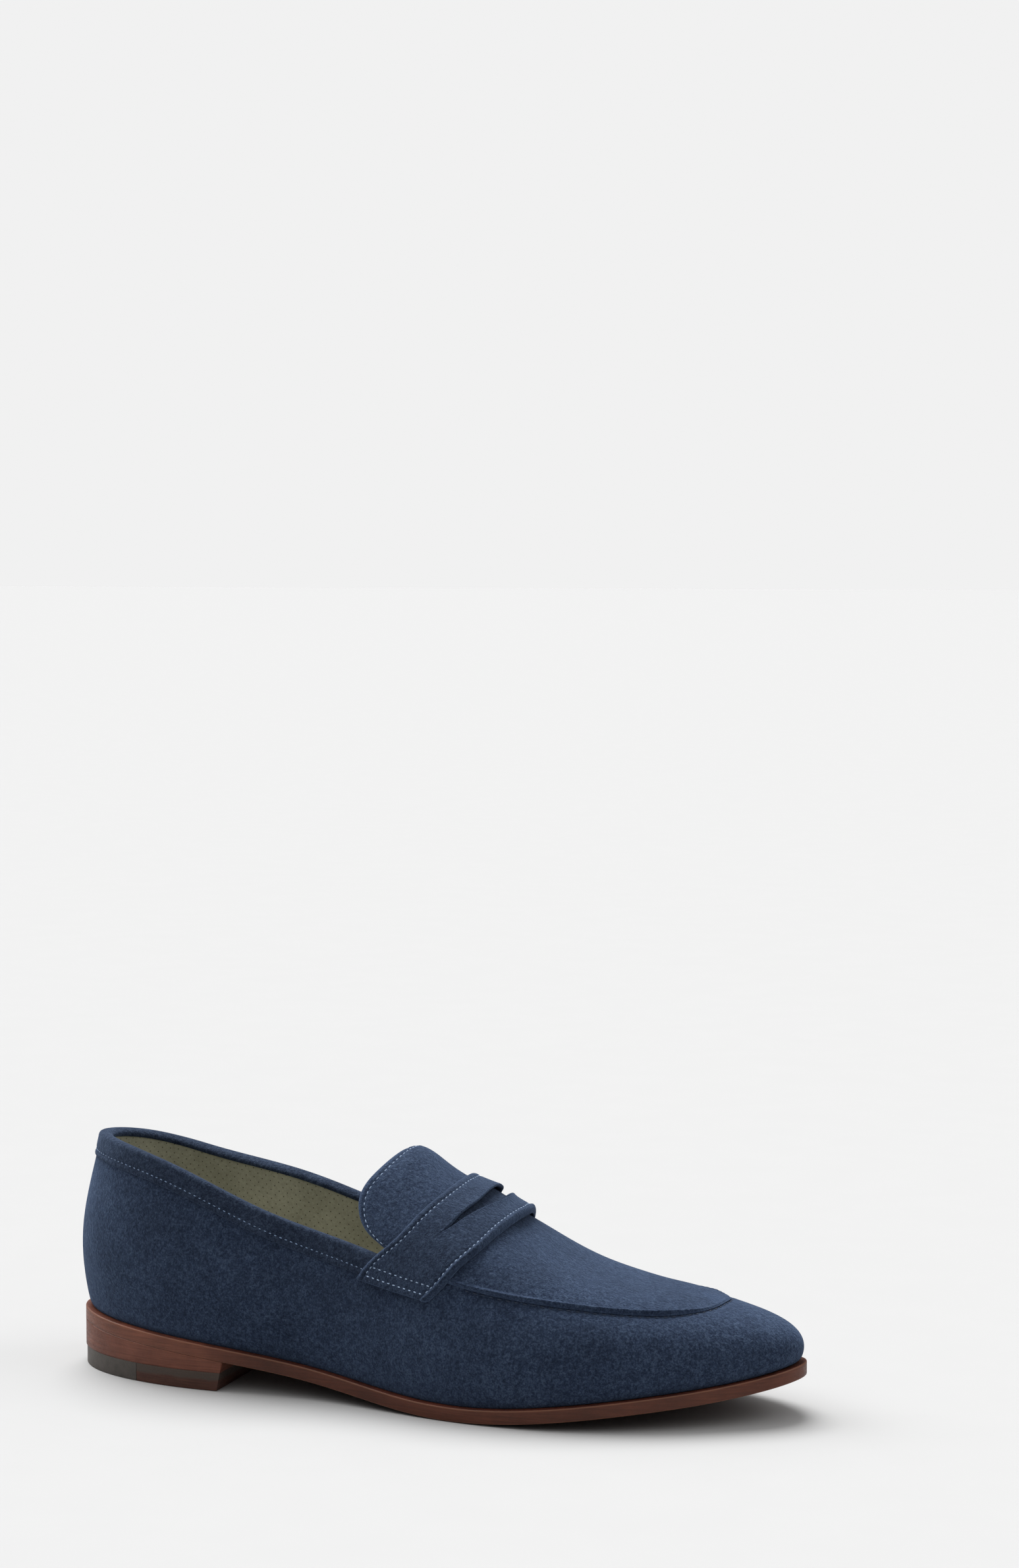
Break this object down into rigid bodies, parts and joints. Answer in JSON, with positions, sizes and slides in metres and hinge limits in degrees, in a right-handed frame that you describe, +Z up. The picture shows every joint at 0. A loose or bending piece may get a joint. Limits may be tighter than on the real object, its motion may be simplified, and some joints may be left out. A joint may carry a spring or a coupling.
{
  "type": "penny loafer shoe",
  "caption": "Slip-on low shoe, right foot: moccasin apron, slotted saddle strap, lined collar, leather sole and stacked heel.",
  "frame": {"origin": "bottom centre of the shoe's bounding box, on the ground plane under the heel and the ball", "axes": "+X towards the toe, +Y towards the medial (big-toe) side, +Z up; the shoe is a right shoe"},
  "size_m": [0.2984, 0.0975, 0.0933],
  "materials": {
    "suede": "brushed navy suede, matte nap",
    "lining_leather": "perforated grey-beige lining leather, low sheen",
    "sole_leather": "burnished red-brown sole leather",
    "heel_rubber": "matte dark rubber",
    "pin_brass": "brushed",
    "cork": "ground cork paste",
    "shank_steel": "plain sheet",
    "insole_leather": "undyed insole leather",
    "pad_foam": "open foam",
    "stiffener_board": "leather fibre board"
  },
  "bodies": {
    "shoe": {"apron": "suede", "apron_lining": "lining_leather", "collar_binding": "suede", "cork_filler": "cork", "heel_counter": "stiffener_board", "heel_lift": "sole_leather", "heel_pad": "pad_foam", "heel_pins": "pin_brass", "heel_wedge": "sole_leather", "insole_board": "insole_leather", "outsole": "sole_leather", "quarter_lining": "lining_leather", "saddle_strap": "suede", "shank": "shank_steel", "side_wall": "suede", "sock_liner": "lining_leather", "strap_lining": "suede", "strap_tab_lateral": "suede", "strap_tab_medial": "suede", "toe_puff": "stiffener_board", "top_piece_leather": "sole_leather", "top_piece_rubber": "heel_rubber", "vamp_lining": "lining_leather", "waist_stiffener_lateral": "stiffener_board", "waist_stiffener_medial": "stiffener_board"},
    "tongue_flap": {"tongue": "suede", "tongue_lining": "lining_leather"}
  },
  "joints": [
    {"name": "tongue_lift", "type": "hinge", "parent": "shoe", "child": "tongue_flap", "pos_m": [0.0129, 0.0031, 0.0825], "axis": [0, 1, 0], "range_deg": [0, 20], "stiffness_Nm_per_rad": 0.02}
  ]
}
